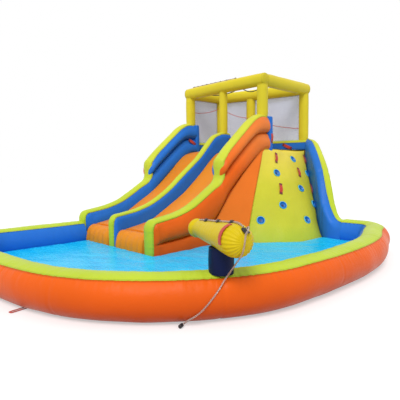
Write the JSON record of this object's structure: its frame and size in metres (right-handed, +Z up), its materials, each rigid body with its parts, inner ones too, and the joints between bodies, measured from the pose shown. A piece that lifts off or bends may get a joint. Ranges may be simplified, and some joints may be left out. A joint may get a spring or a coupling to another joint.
{
  "type": "inflatable water slide",
  "caption": "Inflatable water slide with side-by-side lanes, a climbing face, a netted canopy, a curved wading pool and a swivelling water cannon.",
  "frame": {"origin": "on the ground, under the middle of the tower's footprint, in the plane of the wall between the lanes", "axes": "+Z up; -Y down the lanes towards the pool; +X from the lanes towards the climbing face"},
  "size_m": [4.0176, 5.4683, 2.5563],
  "materials": {
    "orange": "gloss",
    "lane_orange": "gloss",
    "blue": "gloss",
    "lime": "gloss",
    "yellow": "gloss",
    "climb_yellow": "gloss",
    "floor_blue": "gloss",
    "navy": "satin",
    "webbing_red": "matte",
    "net_grey": "matte",
    "black": "satin",
    "clear_hose": "gloss"
  },
  "bodies": {
    "slide": {"anchor_loop": "webbing_red", "beam_back": "yellow", "beam_front": "yellow", "beam_left": "yellow", "beam_right": "yellow", "bumper_handle": "webbing_red", "bumper_trim": "lime", "bumper_wall": "blue", "cannon_post": "navy", "climb_face": "climb_yellow", "climb_handle_1": "webbing_red", "climb_handle_2": "webbing_red", "climb_handle_3": "webbing_red", "climb_handle_4": "webbing_red", "climb_handle_5": "webbing_red", "climb_side_panel": "orange", "climb_wall_inner": "blue", "climb_wall_outer": "orange", "climb_wall_trim": "lime", "inflation_sleeve": "orange", "left_landing": "lane_orange", "left_lane": "lane_orange", "left_wall_handle": "webbing_red", "left_wall_inner": "blue", "left_wall_outer": "orange", "left_wall_trim": "lime", "middle_wall": "blue", "middle_wall_handle": "webbing_red", "middle_wall_trim": "lime", "net_back_left": "net_grey", "net_back_right": "net_grey", "net_left": "net_grey", "pool_floor": "floor_blue", "pool_wall_inner": "blue", "pool_wall_outer": "orange", "pool_wall_trim": "lime", "post_back_left": "yellow", "post_back_middle": "yellow", "post_back_right": "yellow", "post_left": "yellow", "post_middle": "yellow", "post_right": "yellow", "right_landing": "lane_orange", "right_lane": "lane_orange", "right_wall_handle": "webbing_red", "right_wall_inner": "blue", "right_wall_outer": "orange", "right_wall_trim": "lime", "spray_feed": "black", "spray_hose": "clear_hose", "supply_connector": "black", "supply_hose": "clear_hose", "tower_core": "orange", "window_cord": "webbing_red"},
    "cannon": {"cannon_barrel": "yellow", "cannon_cap": "yellow", "cannon_nozzle": "black", "cannon_hose": "clear_hose", "cannon_handle": "webbing_red", "cannon_valve": "black"}
  },
  "joints": [
    {"name": "cannon_swivel", "type": "hinge", "parent": "slide", "child": "cannon", "pos_m": [2.60158, -3.32386, 0.625], "axis": [0, 0, 1], "range_deg": [-35, 35]}
  ]
}
